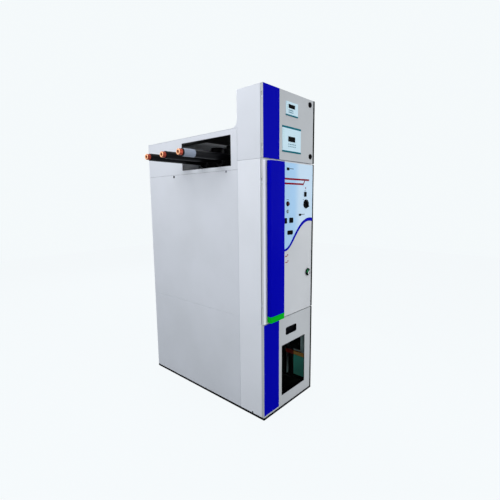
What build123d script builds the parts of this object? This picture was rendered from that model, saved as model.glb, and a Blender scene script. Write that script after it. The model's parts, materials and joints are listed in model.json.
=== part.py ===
from build123d import *
import os

# One panel of medium-voltage gas-insulated switchgear, modelled in millimetres.
# The origin is on the floor at the middle of the base. The front faces -Y, and
# +X is to the right of someone who stands in front of it.

# Overall size of the cubicle, stacked from the floor upwards.
width = 600.0
depth = 1290.0
front_depth = 224.0
shelf_level = 694.0
mechanism_height = 1103.0
relay_box_height = 453.0
panel_seam_level = 712.0
housing_drop = 58.0
housing_height = 274.0

# Sheet metal.
sheet = 2.0
fold = 18.0
deep_fold = 30.0
seam = 1.0
opening_lip = 22.0

# Doors and the fixed cover in front of the cubicle.
leaf_depth = 16.0
leaf_gap = 5.0
leaf_side_gap = 1.0
leaf_joint = 6.0
seal_width = 14.0
floor_clearance = 12.0

# Base and frame.
foot_plate = 10.0
foot_width = 62.0
base_web = 5.0
base_height = 60.0
cross_rail_width = 80.0
post_size = 30.0
post_wall = 3.0
anchor_hole_r = 7.0
anchor_edge = 34.0

# Levels and planes that follow from the sizes above.
relay_box_level = shelf_level + mechanism_height
height = relay_box_level + relay_box_height
housing_level = relay_box_level - housing_drop
housing_top = housing_level + housing_height
left = -width / 2
right = width / 2
front = -depth / 2
rear = depth / 2
cabinet_front = front + leaf_depth + leaf_gap
front_cabinet_back = front + front_depth - seam / 2
side_front = front + front_depth + seam / 2
frame_half_width = width / 2 - fold
frame_back = rear - fold - sheet
os.makedirs("parts", exist_ok=True)


def save(piece, name):
    """Name a finished piece and write it to its own file."""
    piece.label = name
    export_step(piece, "parts/" + name + ".step")


def facing_front(x, z, y=front):
    """Plane that faces the viewer, so a positive extrusion comes forwards."""
    return Plane(origin=(x, y, z), x_dir=(1, 0, 0), z_dir=(0, -1, 0))


def along_x(x, y, z):
    """Plane across the busbars, so a positive extrusion runs to the right."""
    return Plane(origin=(x, y, z), x_dir=(0, 1, 0), z_dir=(1, 0, 0))


def folded_panel(face, length, rise, fold_depth=fold):
    """Sheet panel with all four edges folded back, drawn on the plane of its outer face."""
    with BuildPart() as panel:
        with BuildSketch(face):
            Rectangle(length, rise)
        extrude(amount=fold_depth)
        with BuildSketch(face.offset(sheet)):
            Rectangle(length - 2 * sheet, rise - 2 * sheet)
        extrude(amount=fold_depth, mode=Mode.SUBTRACT)
    return panel.part


def side_plane(side, y_from, y_to, z_from, z_to):
    """Plane of a side panel's outer face, with its normal pointing into the cubicle."""
    middle = (side * width / 2, (y_from + y_to) / 2, (z_from + z_to) / 2)
    return Plane(origin=middle, x_dir=(0, side, 0), z_dir=(-side, 0, 0))


def rear_plane(z_from, z_to):
    """Plane of a rear panel's outer face, with its normal pointing forwards."""
    return Plane(origin=(0, rear - sheet, (z_from + z_to) / 2), x_dir=(1, 0, 0), z_dir=(0, -1, 0))


def front_plane(y_face, x_from, x_to, z_from, z_to):
    """Plane of a front piece's outer face, with its normal pointing to the rear."""
    middle = ((x_from + x_to) / 2, y_face, (z_from + z_to) / 2)
    return Plane(origin=middle, x_dir=(-1, 0, 0), z_dir=(0, 1, 0))


# Base: a welded ring of angle section with a cross rail, bolted to the floor.
foot_half_width = width / 2 - sheet
foot_half_depth = depth / 2 - sheet
web_front = cabinet_front + sheet
web_back = frame_back
web_middle = (web_front + web_back) / 2
anchor_x = foot_half_width - anchor_edge
anchor_y = foot_half_depth - anchor_edge
with BuildPart() as base_frame:
    with BuildSketch():
        Rectangle(2 * foot_half_width, 2 * foot_half_depth)
        Rectangle(2 * (foot_half_width - foot_width), 2 * (foot_half_depth - foot_width), mode=Mode.SUBTRACT)
        Rectangle(2 * foot_half_width, cross_rail_width)
        with GridLocations(2 * anchor_x, 2 * anchor_y, 2, 2):
            Circle(anchor_hole_r, mode=Mode.SUBTRACT)
    extrude(amount=foot_plate)
    with BuildSketch(Plane.XY.offset(foot_plate)):
        with Locations((0, web_middle)):
            Rectangle(2 * frame_half_width, web_back - web_front)
            Rectangle(
                2 * (frame_half_width - base_web),
                web_back - web_front - 2 * base_web,
                mode=Mode.SUBTRACT,
            )
    extrude(amount=base_height - foot_plate)
save(base_frame.part, "base_frame")

# Frame: four square-tube posts on the base, and the rails between them for the tank.
post_x = frame_half_width - post_size / 2
front_post_y = front_cabinet_back + post_size / 2
rear_post_y = frame_back - post_size / 2
frame_middle_y = (front_post_y + rear_post_y) / 2
housing_side_bottom = housing_level + seam / 2
housing_side_top = housing_top - sheet - seam / 2
rail_top = panel_seam_level
rail_bottom = rail_top - post_size
post_span = rear_post_y - front_post_y
with BuildPart() as cabinet_frame:
    with BuildSketch(Plane.XY.offset(base_height)):
        for post_y in (front_post_y, rear_post_y):
            with Locations((-post_x, post_y), (post_x, post_y)):
                Rectangle(post_size, post_size)
                Rectangle(post_size - 2 * post_wall, post_size - 2 * post_wall, mode=Mode.SUBTRACT)
    extrude(amount=housing_side_top - base_height)
save(cabinet_frame.part, "cabinet_frame")
with BuildPart() as tank_rails:
    with BuildSketch(Plane.XY.offset(rail_bottom)):
        with Locations((-post_x, frame_middle_y), (post_x, frame_middle_y)):
            Rectangle(post_size, post_span - post_size)
        with Locations((0, front_post_y), (0, rear_post_y)):
            Rectangle(2 * post_x - post_size, post_size)
    extrude(amount=post_size)
save(tank_rails.part, "tank_rails")

# Outer sheet panels of the cubicle.
front_panel_top = relay_box_level - seam
lower_panel_top = panel_seam_level - seam / 2
upper_panel_bottom = panel_seam_level + seam / 2
upper_panel_top = housing_level - seam / 2
strip_depth = front_cabinet_back - cabinet_front
side_depth = rear - side_front
for side, side_name in ((-1, "left"), (1, "right")):
    strip_plane = side_plane(side, cabinet_front, front_cabinet_back, floor_clearance, front_panel_top)
    with BuildPart() as front_strip:
        add(folded_panel(strip_plane, strip_depth, front_panel_top - floor_clearance, deep_fold))
        with BuildSketch(Plane.XY.offset(floor_clearance)):
            with Locations((side * frame_half_width / 2, cabinet_front + strip_depth / 2)):
                Rectangle(frame_half_width, strip_depth)
        extrude(amount=base_height - floor_clearance, mode=Mode.SUBTRACT)
    save(front_strip.part, side_name + "_front_panel")

    lower_plane = side_plane(side, side_front, rear, floor_clearance, lower_panel_top)
    lower_side = folded_panel(lower_plane, side_depth, lower_panel_top - floor_clearance)
    save(lower_side, side_name + "_lower_side_panel")

    upper_plane = side_plane(side, side_front, rear, upper_panel_bottom, upper_panel_top)
    upper_side = folded_panel(upper_plane, side_depth, upper_panel_top - upper_panel_bottom)
    save(upper_side, side_name + "_upper_side_panel")

rear_panel_width = width - 2 * fold - 2 * seam
for name, z_from, z_to in (
    ("rear_lower_panel", floor_clearance, lower_panel_top),
    ("rear_upper_panel", upper_panel_bottom, upper_panel_top),
    ("busbar_rear_cover", housing_side_bottom, housing_side_top),
):
    save(folded_panel(rear_plane(z_from, z_to), rear_panel_width, z_to - z_from), name)

# Gas tank: a sealed stainless vessel whose foot flange stands on the frame's rails.
tank_clearance = 2.0
tank_half_width = post_x - post_size / 2 - 4 * tank_clearance
tank_wall = 3.0
tank_flange = 6.0
tank_front = front_cabinet_back + post_size + tank_clearance
tank_back = frame_back - post_size - tank_clearance
tank_middle_y = (tank_front + tank_back) / 2
tank_depth = tank_back - tank_front
tank_bottom = rail_top
tank_top = housing_level
with BuildPart() as gas_tank:
    with BuildSketch(Plane.XY.offset(tank_bottom)):
        with Locations((0, tank_middle_y)):
            Rectangle(2 * tank_half_width, tank_depth)
    extrude(amount=tank_top - tank_bottom)
    offset(amount=-tank_wall, kind=Kind.INTERSECTION, mode=Mode.SUBTRACT)
    with BuildSketch(Plane.XY.offset(tank_bottom)):
        with Locations((0, tank_middle_y)):
            Rectangle(2 * (frame_half_width - seam), tank_depth)
            Rectangle(
                2 * (tank_half_width - tank_wall),
                tank_depth - 2 * tank_wall,
                mode=Mode.SUBTRACT,
            )
    extrude(amount=tank_flange)
save(gas_tank.part, "gas_tank")

# Busbars: three insulated bars across the panel, level with those of the next panel.
bar_rise = 98.0
bar_distance = 180.0
first_bar_depth = 380.0
bar_r = 25.0
bar_reach = 670.0
bar_end = 20.0
contact_r = 20.0
contact_length = 26.0
contact_bevel = 3.0
bar_level = housing_level + bar_rise
bar_y = [front + first_bar_depth + phase * bar_distance for phase in range(3)]
with BuildPart() as busbars:
    for y in bar_y:
        with BuildSketch(along_x(-bar_reach + contact_length, y, bar_level)):
            Circle(bar_r)
        extrude(amount=bar_reach - contact_length - bar_end)
save(busbars.part, "busbars")
with BuildPart() as busbar_contacts:
    for y in bar_y:
        with BuildSketch(along_x(-bar_reach, y, bar_level)):
            Circle(contact_r)
        extrude(amount=contact_length)
save(busbar_contacts.part, "busbar_contacts")

# Bushings: square cast flanges on the tank top, which the adapters are pushed on to.
flange_size = 132.0
flange_thickness = 10.0
flange_bevel = 14.0
with BuildPart() as busbar_bushings:
    with BuildSketch(Plane.XY.offset(tank_top)):
        with Locations([(0, y) for y in bar_y]):
            Rectangle(flange_size, flange_size)
    extrude(amount=flange_thickness)
    chamfer(busbar_bushings.edges().filter_by(Axis.Z), flange_bevel)
save(busbar_bushings.part, "busbar_bushings")

# Adapters: moulded rubber crosses that join each bushing to its bar. Each is a column
# crossed by a sleeve at the level of the bars, with a rim where the bar enters.
column_r = 51.0
column_rise = 222.0
sleeve_r = 41.0
sleeve_rim_r = 46.0
sleeve_rim = 14.0
sleeve_reach = 150.0
adapter_foot = tank_top + flange_thickness
adapter_top = tank_top + column_rise
with BuildPart() as adapter:
    with BuildSketch(Plane.XY.offset(adapter_foot)):
        Circle(column_r)
    extrude(amount=adapter_top - adapter_foot)
    with BuildSketch(along_x(-sleeve_reach, 0, bar_level)):
        Circle(sleeve_r)
    extrude(amount=2 * sleeve_reach - sleeve_rim)
    with BuildSketch(along_x(-sleeve_reach, 0, bar_level)):
        Circle(sleeve_rim_r)
    extrude(amount=sleeve_rim)
    with BuildSketch(along_x(-sleeve_reach, 0, bar_level)):
        Circle(bar_r)
    extrude(amount=sleeve_reach - bar_end, mode=Mode.SUBTRACT)
adapter_shape = adapter.part
with BuildPart() as busbar_adapters:
    with Locations([(0, y, 0) for y in bar_y]):
        add(adapter_shape)
save(busbar_adapters.part, "busbar_adapters")

# Plugs that close the adapters on the right, where no bar leaves this panel.
end_plug = 30.0
with BuildPart() as busbar_end_plugs:
    for y in bar_y:
        with BuildSketch(along_x(sleeve_reach - sleeve_rim, y, bar_level)):
            Circle(sleeve_rim_r)
        extrude(amount=end_plug)
save(busbar_end_plugs.part, "busbar_end_plugs")

# Busbar housing on top: two sides with a window, a front wall, a rear cover and a lid.
window_front_margin = 95.0
window_rear_margin = 83.0
window_sill = 29.0
window_head = 39.0
window_from = bar_y[0] - window_front_margin
window_to = bar_y[-1] + window_rear_margin
window_bottom = housing_level + window_sill
window_top = housing_top - window_head
window_length = window_to - window_from
window_rise = window_top - window_bottom
edging_lap = 7.0
edging_wall = 2.5
for side, side_name in ((-1, "left"), (1, "right")):
    housing_plane = side_plane(side, side_front, rear, housing_side_bottom, housing_side_top)
    window_plane = side_plane(side, window_from, window_to, window_bottom, window_top)
    with BuildPart() as housing_side:
        add(folded_panel(housing_plane, side_depth, housing_side_top - housing_side_bottom))
        with BuildSketch(window_plane):
            Rectangle(window_length, window_rise)
        extrude(amount=fold, mode=Mode.SUBTRACT)
    save(housing_side.part, "busbar_" + side_name + "_side")
with BuildPart() as window_edging:
    for side in (-1, 1):
        window_plane = side_plane(side, window_from, window_to, window_bottom, window_top)
        with BuildSketch(window_plane.offset(sheet)):
            Rectangle(window_length + 2 * edging_lap, window_rise + 2 * edging_lap)
            Rectangle(window_length - 2 * edging_wall, window_rise - 2 * edging_wall, mode=Mode.SUBTRACT)
        extrude(amount=edging_wall)
        with BuildSketch(window_plane):
            Rectangle(window_length, window_rise)
            Rectangle(window_length - 2 * edging_wall, window_rise - 2 * edging_wall, mode=Mode.SUBTRACT)
        extrude(amount=sheet)
save(window_edging.part, "window_edging")
with BuildPart() as busbar_front_wall:
    with BuildSketch(Plane.XY.offset(housing_side_bottom)):
        with Locations((0, front_cabinet_back + post_size + sheet / 2)):
            Rectangle(2 * frame_half_width - seam, sheet)
    extrude(amount=housing_side_top - housing_side_bottom)
save(busbar_front_wall.part, "busbar_front_wall")
with BuildPart() as busbar_top_cover:
    with BuildSketch(Plane.XY.offset(housing_top - sheet)):
        with Locations((0, (side_front + rear) / 2)):
            Rectangle(width, side_depth)
    extrude(amount=sheet)
save(busbar_top_cover.part, "busbar_top_cover")

# Relay box on top of the front cabinet, open at the front.
with BuildPart() as relay_box:
    box_plane = front_plane(cabinet_front, left, right, relay_box_level, height)
    with BuildSketch(box_plane):
        Rectangle(width, relay_box_height)
    extrude(amount=strip_depth)
    with BuildSketch(box_plane.offset(sheet)):
        Rectangle(width - 2 * sheet, relay_box_height - 2 * sheet)
    extrude(amount=strip_depth - 2 * sheet, mode=Mode.SUBTRACT)
    with BuildSketch(box_plane):
        Rectangle(width - 2 * opening_lip, relay_box_height - 2 * opening_lip)
    extrude(amount=sheet, mode=Mode.SUBTRACT)
save(relay_box.part, "relay_box")

# Fairing: a curved sheet with closed ends between the relay box and the housing.
fairing_r = 48.0
fairing_centre = (front_cabinet_back + fairing_r, housing_top + fairing_r)
with BuildPart() as relay_box_fairing:
    with BuildSketch(Plane.YZ.offset(left)):
        with Locations((front_cabinet_back, housing_top)):
            Rectangle(fairing_r, fairing_r, align=(Align.MIN, Align.MIN))
        with Locations(fairing_centre):
            Circle(fairing_r, mode=Mode.SUBTRACT)
    extrude(amount=width)
    with BuildSketch(Plane.YZ.offset(left + sheet)):
        with Locations((front_cabinet_back, housing_top)):
            Rectangle(fairing_r, fairing_r, align=(Align.MIN, Align.MIN))
        with Locations(fairing_centre):
            Circle(fairing_r + sheet, mode=Mode.SUBTRACT)
    extrude(amount=width - 2 * sheet, mode=Mode.SUBTRACT)
save(relay_box_fairing.part, "relay_box_fairing")

# Two rows of terminals on the relay box's back wall.
terminal_count = 16
terminal_pitch = 24.0
terminal_gap = 5.0
terminal_rise = 58.0
terminal_depth = 46.0
terminal_foot = 14.0
terminal_spacing = 210.0
terminal_level = relay_box_level + relay_box_height / 2
with BuildPart() as terminal_rows:
    for row_z in (terminal_level - terminal_spacing / 2, terminal_level + terminal_spacing / 2):
        row_plane = facing_front(0, row_z, front_cabinet_back - sheet)
        with BuildSketch(row_plane):
            Rectangle(terminal_count * terminal_pitch, terminal_rise)
        extrude(amount=terminal_depth)
        with BuildSketch(row_plane.offset(terminal_foot)):
            with GridLocations(terminal_pitch, 1, terminal_count - 1, 1):
                Rectangle(terminal_gap, terminal_rise)
        extrude(amount=terminal_depth, mode=Mode.SUBTRACT)
save(terminal_rows.part, "terminal_rows")

# Mechanism compartment: its shelf, and the drives on a plate in front of the tank.
with BuildPart() as mechanism_shelf:
    with BuildSketch(Plane.XY.offset(shelf_level - sheet)):
        with Locations((0, (cabinet_front + sheet + front_cabinet_back) / 2)):
            Rectangle(width - 2 * deep_fold, strip_depth - sheet)
    extrude(amount=sheet)
save(mechanism_shelf.part, "mechanism_shelf")
drive_plate_side_gap = 22.0
drive_plate_width = 2 * (post_x - post_size / 2 - drive_plate_side_gap)
drive_plate_rise = 940.0
drive_plate_off = 40.0
drive_plate_y = tank_front - drive_plate_off
drive_plate_level = shelf_level + mechanism_height / 2
with BuildPart() as mechanism_plate:
    plate_plane = Plane(origin=(0, drive_plate_y, drive_plate_level), x_dir=(-1, 0, 0), z_dir=(0, 1, 0))
    add(folded_panel(plate_plane, drive_plate_width, drive_plate_rise, drive_plate_off))
save(mechanism_plate.part, "mechanism_plate")

breaker_width = 250.0
breaker_rise = 300.0
breaker_depth = 84.0
breaker_lift = 220.0
breaker_level = drive_plate_level + breaker_lift
breaker_axis_y = drive_plate_y - breaker_depth / 2
cheek = 8.0
drum_r = 36.0
switch_width = 220.0
switch_rise = 190.0
switch_depth = 66.0
switch_drop = 130.0
switch_level = drive_plate_level - switch_drop
switch_bevel = 10.0
boss_r = 15.0
boss_rise = 16.0
boss_pitch = 110.0
with BuildPart() as switch_drive:
    with BuildSketch(facing_front(0, switch_level, drive_plate_y)):
        Rectangle(switch_width, switch_rise)
    extrude(amount=switch_depth)
    chamfer(switch_drive.faces().sort_by(Axis.Y)[0].edges(), switch_bevel)
    with BuildSketch(facing_front(0, switch_level, drive_plate_y - switch_depth)):
        with GridLocations(boss_pitch, 1, 2, 1):
            Circle(boss_r)
    extrude(amount=boss_rise)
switch_shape = switch_drive.part
with BuildPart() as operating_drives:
    with BuildSketch(facing_front(0, breaker_level, drive_plate_y)):
        Rectangle(breaker_width, breaker_rise)
    extrude(amount=cheek)
    with BuildSketch(facing_front(0, breaker_level, drive_plate_y)):
        for cheek_x in (-breaker_width / 2 + cheek / 2, 0, breaker_width / 2 - cheek / 2):
            with Locations((cheek_x, 0)):
                Rectangle(cheek, breaker_rise)
    extrude(amount=breaker_depth)
    with BuildSketch(along_x(-breaker_width / 2, breaker_axis_y, breaker_level + breaker_rise / 5)):
        Circle(drum_r)
    extrude(amount=breaker_width)
    add(switch_shape)
save(operating_drives.part, "operating_drives")

# Cable compartment: floor plate, partition, plugs, cables, clamps and earth bar.
phase_pitch = 160.0
cable_r = 26.0
cable_depth = 400.0
cable_clearance = 4.0
grommet_sides = 8
cable_foot = 4.0
cable_to_partition = 75.0
cable_y = front + cable_depth
partition_y = cable_y + cable_to_partition
cable_row = [(phase * phase_pitch, cable_y) for phase in (-1, 0, 1)]
with BuildPart() as floor_plate:
    with BuildSketch(Plane.XY.offset(base_height)):
        with Locations((0, (web_front + partition_y) / 2)):
            Rectangle(2 * (post_x - post_size / 2 - seam), partition_y - web_front)
        with Locations(cable_row):
            RegularPolygon(cable_r + cable_clearance, grommet_sides, major_radius=False, mode=Mode.SUBTRACT)
    extrude(amount=sheet)
save(floor_plate.part, "floor_plate")
with BuildPart() as cable_partition:
    with BuildSketch(Plane.XY.offset(base_height)):
        with Locations((0, partition_y + sheet / 2)):
            Rectangle(2 * (frame_half_width - seam), sheet)
    extrude(amount=rail_bottom - base_height)
save(cable_partition.part, "cable_partition")

plug_r = 50.0
plug_skirt = 150.0
plug_neck_wall = 8.0
plug_neck_r = cable_r + plug_neck_wall
plug_neck = 110.0
plug_foot = tank_bottom - plug_skirt - plug_neck
with BuildPart() as cable_plug:
    with BuildSketch(Plane.XY.offset(tank_bottom - plug_skirt)):
        Circle(plug_r)
    extrude(amount=plug_skirt)
    with BuildSketch(Plane.XY.offset(plug_foot)):
        Circle(plug_neck_r)
    extrude(amount=plug_neck)
plug_shape = cable_plug.part
with BuildPart() as cable_plugs:
    with Locations([(x, y, 0) for x, y in cable_row]):
        add(plug_shape)
save(cable_plugs.part, "cable_plugs")
with BuildPart() as cables:
    with BuildSketch(Plane.XY.offset(cable_foot)):
        with Locations(cable_row):
            Circle(cable_r)
    extrude(amount=plug_foot - cable_foot)
save(cables.part, "cables")

clamp_level = 300.0
clamp_width = 84.0
clamp_depth = 66.0
clamp_rise = 44.0
rail_wall = 3.0
clamp_rail_length = 2 * phase_pitch + clamp_width
clamp_rail_depth = cable_to_partition - clamp_depth / 2
with BuildPart() as cable_clamps:
    with BuildSketch(Plane.XY.offset(clamp_level)):
        with Locations(cable_row):
            Rectangle(clamp_width, clamp_depth)
            RegularPolygon(cable_r, grommet_sides, major_radius=False, mode=Mode.SUBTRACT)
    extrude(amount=clamp_rise)
save(cable_clamps.part, "cable_clamps")
with BuildPart() as cable_clamp_rail:
    with BuildSketch(Plane.YZ.offset(-clamp_rail_length / 2)):
        with Locations((partition_y - clamp_rail_depth / 2, clamp_level + clamp_rise / 2)):
            Rectangle(clamp_rail_depth, clamp_rise)
        with Locations((partition_y - clamp_rail_depth / 2 + rail_wall, clamp_level + clamp_rise / 2)):
            Rectangle(clamp_rail_depth, clamp_rise - 2 * rail_wall, mode=Mode.SUBTRACT)
    extrude(amount=clamp_rail_length)
save(cable_clamp_rail.part, "cable_clamp_rail")

earth_bar_thickness = 8.0
earth_bar_rise = 30.0
earth_bar_level = 256.0
earth_bar_start = 45.0
with BuildPart() as earth_bar:
    with BuildSketch(Plane.XY.offset(earth_bar_level)):
        with Locations((right - deep_fold, front + earth_bar_start)):
            Rectangle(
                earth_bar_thickness,
                front_cabinet_back - front - earth_bar_start,
                align=(Align.MAX, Align.MIN),
            )
    extrude(amount=earth_bar_rise)
save(earth_bar.part, "earth_bar")

# Hinges: each door turns on two pins behind the left edge of its leaf.
hinge_inset = 8.0
hinge_x = left + hinge_inset
hinge_y = front + hinge_inset
knuckle_size = 10.0
pin_r = 2.5
pin_clearance = 0.1
knuckle_length = 14.0
knuckle_gap = 0.5
notch_clearance = 3.0
lug_width = 8.0
lug_front = 3.0
tongue_length = 14.0
hinge_edge = 70.0
leaf_left = left + leaf_side_gap
leaf_right = right - leaf_side_gap - seal_width
relay_leaf_bottom = relay_box_level + leaf_joint / 2
relay_leaf_top = height - seam
mechanism_leaf_top = relay_leaf_bottom - leaf_joint
mechanism_leaf_bottom = shelf_level + leaf_joint / 2
cover_top = mechanism_leaf_bottom - leaf_joint
relay_hinges = (relay_leaf_bottom + hinge_edge, relay_leaf_top - hinge_edge)
mechanism_hinges = (mechanism_leaf_bottom + 2 * hinge_edge, mechanism_leaf_top - 2 * hinge_edge)
with BuildPart() as hinge_brackets:
    for level in relay_hinges + mechanism_hinges:
        with BuildSketch(Plane.XY.offset(level - knuckle_length)):
            with Locations((hinge_x, hinge_y)):
                Rectangle(2 * lug_front, 2 * lug_front)
            with Locations((hinge_x, hinge_y - lug_front)):
                Rectangle(lug_width, cabinet_front - hinge_y + lug_front, align=(Align.MIN, Align.MIN))
        extrude(amount=knuckle_length - knuckle_gap)
        with BuildSketch(Plane.XY.offset(level - knuckle_gap)):
            with Locations((hinge_x, hinge_y)):
                Circle(pin_r)
        extrude(amount=knuckle_length + 2 * knuckle_gap)
save(hinge_brackets.part, "hinge_brackets")


def door_leaf(z_from, z_to, hinge_levels):
    """Folded door leaf with its hinge knuckles and the notches that clear the brackets."""
    face = front_plane(front, leaf_left, leaf_right, z_from, z_to)
    notch = 2 * (knuckle_length + notch_clearance)
    with BuildPart() as leaf:
        add(folded_panel(face, leaf_right - leaf_left, z_to - z_from, leaf_depth))
        for level in hinge_levels:
            with BuildSketch(Plane.XY.offset(level - notch / 2)):
                with Locations((leaf_left, front + sheet)):
                    Rectangle(sheet, leaf_depth, align=(Align.MIN, Align.MIN))
            extrude(amount=notch, mode=Mode.SUBTRACT)
            with BuildSketch(Plane.XY.offset(level)):
                with Locations((hinge_x - knuckle_size / 2, front + sheet)):
                    Rectangle(tongue_length, hinge_inset - sheet + knuckle_size / 2, align=(Align.MIN, Align.MIN))
                with Locations((hinge_x, hinge_y)):
                    Circle(pin_r + pin_clearance, mode=Mode.SUBTRACT)
            extrude(amount=knuckle_length)
    return leaf.part


def edge_seal(z_from, z_to):
    """Black rubber profile on the free edge of a leaf."""
    with BuildPart() as seal:
        with BuildSketch(Plane.XY.offset(z_from)):
            with Locations((leaf_right, front)):
                Rectangle(seal_width, leaf_depth, align=(Align.MIN, Align.MIN))
        extrude(amount=z_to - z_from)
    return seal.part


# Relay door with two protection relays and two locks.
relay_margin = 8.0
relay_bezel = 10.0
relay_case_depth = 110.0
relay_x = 10.0
upper_relay_width = 140.0
upper_relay_rise = 92.0
upper_relay_drop = 109.0
upper_display = (18.0, 70.0, 16.0)
lower_relay_width = 217.0
lower_relay_rise = 171.0
lower_relay_lift = 143.0
lower_display = (5.0, 77.0, 24.0)
display_x = -4.0
display_depth = 3.0
upper_relay_level = height - upper_relay_drop
lower_relay_level = relay_box_level + lower_relay_lift
relays = (
    ("upper_relay", upper_relay_width, upper_relay_rise, upper_relay_level, upper_display),
    ("lower_relay", lower_relay_width, lower_relay_rise, lower_relay_level, lower_display),
)
with BuildPart() as relay_door:
    add(door_leaf(relay_leaf_bottom, relay_leaf_top, relay_hinges))
    for name, relay_width, relay_rise, relay_level, display in relays:
        with BuildSketch(facing_front(relay_x, relay_level)):
            Rectangle(relay_width - 2 * relay_margin, relay_rise - 2 * relay_margin)
        extrude(amount=-sheet, mode=Mode.SUBTRACT)
save(relay_door.part, "relay_door")
for name, relay_width, relay_rise, relay_level, (display_lift, display_width, display_rise) in relays:
    with BuildPart() as relay:
        with BuildSketch(facing_front(relay_x, relay_level)):
            Rectangle(relay_width, relay_rise)
        extrude(amount=relay_bezel, taper=20)
        with BuildSketch(facing_front(relay_x, relay_level)):
            Rectangle(relay_width - 2 * relay_margin, relay_rise - 2 * relay_margin)
        extrude(amount=-relay_case_depth)
        with BuildSketch(facing_front(relay_x, relay_level, front - relay_bezel)):
            with Locations((display_x, display_lift)):
                Rectangle(display_width, display_rise)
        extrude(amount=-display_depth, mode=Mode.SUBTRACT)
    save(relay.part, name)
relay_lock_r = 19.0
relay_lock_rise = 7.0
upper_lock_inset = 66.0
upper_lock_drop = 37.0
lower_lock_inset = 54.0
lower_lock_lift = 52.0
relay_lock_places = (
    (right - upper_lock_inset, height - upper_lock_drop),
    (right - lower_lock_inset, relay_box_level + lower_lock_lift),
)
with BuildPart() as relay_door_locks:
    for lock_x, lock_z in relay_lock_places:
        with BuildSketch(facing_front(lock_x, lock_z)):
            Circle(relay_lock_r)
        extrude(amount=relay_lock_rise)
save(relay_door_locks.part, "relay_door_locks")
save(edge_seal(relay_leaf_bottom, relay_leaf_top), "relay_door_seal")

# Mechanism door with the raised trim, which is a moulded cover open at its back.
save(door_leaf(mechanism_leaf_bottom, mechanism_leaf_top, mechanism_hinges), "mechanism_door")
save(edge_seal(mechanism_leaf_bottom, mechanism_leaf_top), "mechanism_door_seal")
trim_inset = 40.0
trim_width = 148.0
trim_depth = 35.0
trim_wall = 3.0
trim_round = 3.0
trim_drop = 9.0
trim_lift = 12.0
green_length = 42.0
trim_left = left + trim_inset
trim_right = trim_left + trim_width
trim_bottom = shelf_level + trim_lift
trim_top = mechanism_leaf_top - trim_drop
for name, z_from, z_to in (
    ("blue_trim", trim_bottom + green_length, trim_top),
    ("green_trim_end", trim_bottom, trim_bottom + green_length),
):
    with BuildPart() as trim:
        with BuildSketch(Plane.XY.offset(z_from)):
            with Locations((trim_left + trim_width / 2, front - trim_depth / 2)):
                Rectangle(trim_width, trim_depth)
        extrude(amount=z_to - z_from)
        fillet(trim.edges().filter_by(Axis.Z).group_by(Axis.Y)[0], trim_round)
        with BuildSketch(Plane.XY.offset(z_from + trim_wall)):
            with Locations((trim_left + trim_width / 2, front - trim_depth / 2 + trim_wall)):
                Rectangle(trim_width - 2 * trim_wall, trim_depth)
        extrude(amount=z_to - z_from - 2 * trim_wall, mode=Mode.SUBTRACT)
    save(trim.part, name)

# Mimic panel: a printed plate whose lower edge follows the raised blue curve.
mimic_sheet = 2.0
mimic_margin = 2.0
mimic_drop = 7.0
curve_rise = 3.0
curve_drop = 593.5
curve_climb = 183.5
curve_start_thickness = 15.5
curve_end_thickness = 17.0
upper_lead = 124.0
upper_dip = 101.0
upper_tail = 224.0
upper_crest = 39.0
lower_lead = 136.0
lower_dip = 92.0
lower_tail = 210.0
lower_crest = 45.0
mimic_right = leaf_right - mimic_margin
mimic_top = mechanism_leaf_top - mimic_drop
curve_start = mechanism_leaf_top - curve_drop
curve_end = curve_start + curve_climb
upper_start = curve_start + curve_start_thickness / 2
upper_end = curve_end + curve_end_thickness / 2
lower_start = upper_start - curve_start_thickness
lower_end = upper_end - curve_end_thickness
upper_curve = (
    (trim_right, upper_start),
    (trim_right + upper_lead, upper_start - upper_dip),
    (mimic_right - upper_tail, upper_end + upper_crest),
    (mimic_right, upper_end),
)
lower_curve = (
    (trim_right, lower_start),
    (trim_right + lower_lead, lower_start - lower_dip),
    (mimic_right - lower_tail, lower_end + lower_crest),
    (mimic_right, lower_end),
)
with BuildPart() as mimic_panel:
    with BuildSketch(facing_front(0, 0)):
        with BuildLine():
            Bezier(*upper_curve)
            Line(upper_curve[-1], (mimic_right, mimic_top))
            Line((mimic_right, mimic_top), (trim_right, mimic_top))
            Line((trim_right, mimic_top), upper_curve[0])
        make_face()
    extrude(amount=mimic_sheet)
save(mimic_panel.part, "mimic_panel")
with BuildPart() as mimic_curve:
    with BuildSketch(facing_front(0, 0)):
        with BuildLine():
            Bezier(*upper_curve)
            Line(upper_curve[-1], lower_curve[-1])
            Bezier(*lower_curve)
            Line(lower_curve[0], upper_curve[0])
        make_face()
    extrude(amount=curve_rise)
save(mimic_curve.part, "mimic_curve")

# Controls on the mechanism door, placed from its right edge, its top and the shelf's level.
knob_r = 33.0
knob_base = 8.0
knob_grip_width = 14.0
knob_grip_rise = 13.0
knob_inset = 105.0
knob_drop = 292.0
button_r = 17.0
button_rise = 11.0
button_inset = 335.0
button_drop = 288.0
lamp_r = 12.0
lamp_rise = 6.0
lamp_drop = 341.0
indicator_rise = 5.0
slot_inset = 116.0
slot_drop = 221.0
slot_width = 32.0
slot_rise = 36.0
spring_sign_inset = 363.0
spring_sign_drop = 405.0
spring_sign_width = 35.0
spring_sign_rise = 38.0
counter_inset = 293.0
counter_drop = 404.0
counter_width = 44.0
counter_rise = 37.0
breaker_sign_inset = 306.0
breaker_sign_drop = 491.0
breaker_sign_width = 62.0
breaker_sign_rise = 30.0
indicators = (
    (slot_inset, slot_drop, slot_width, slot_rise),
    (spring_sign_inset, spring_sign_drop, spring_sign_width, spring_sign_rise),
    (counter_inset, counter_drop, counter_width, counter_rise),
    (breaker_sign_inset, breaker_sign_drop, breaker_sign_width, breaker_sign_rise),
)
door_lock_r = 35.0
door_lock_rim = 4.0
door_lock_cap_r = 27.0
door_lock_cap = 11.0
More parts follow.
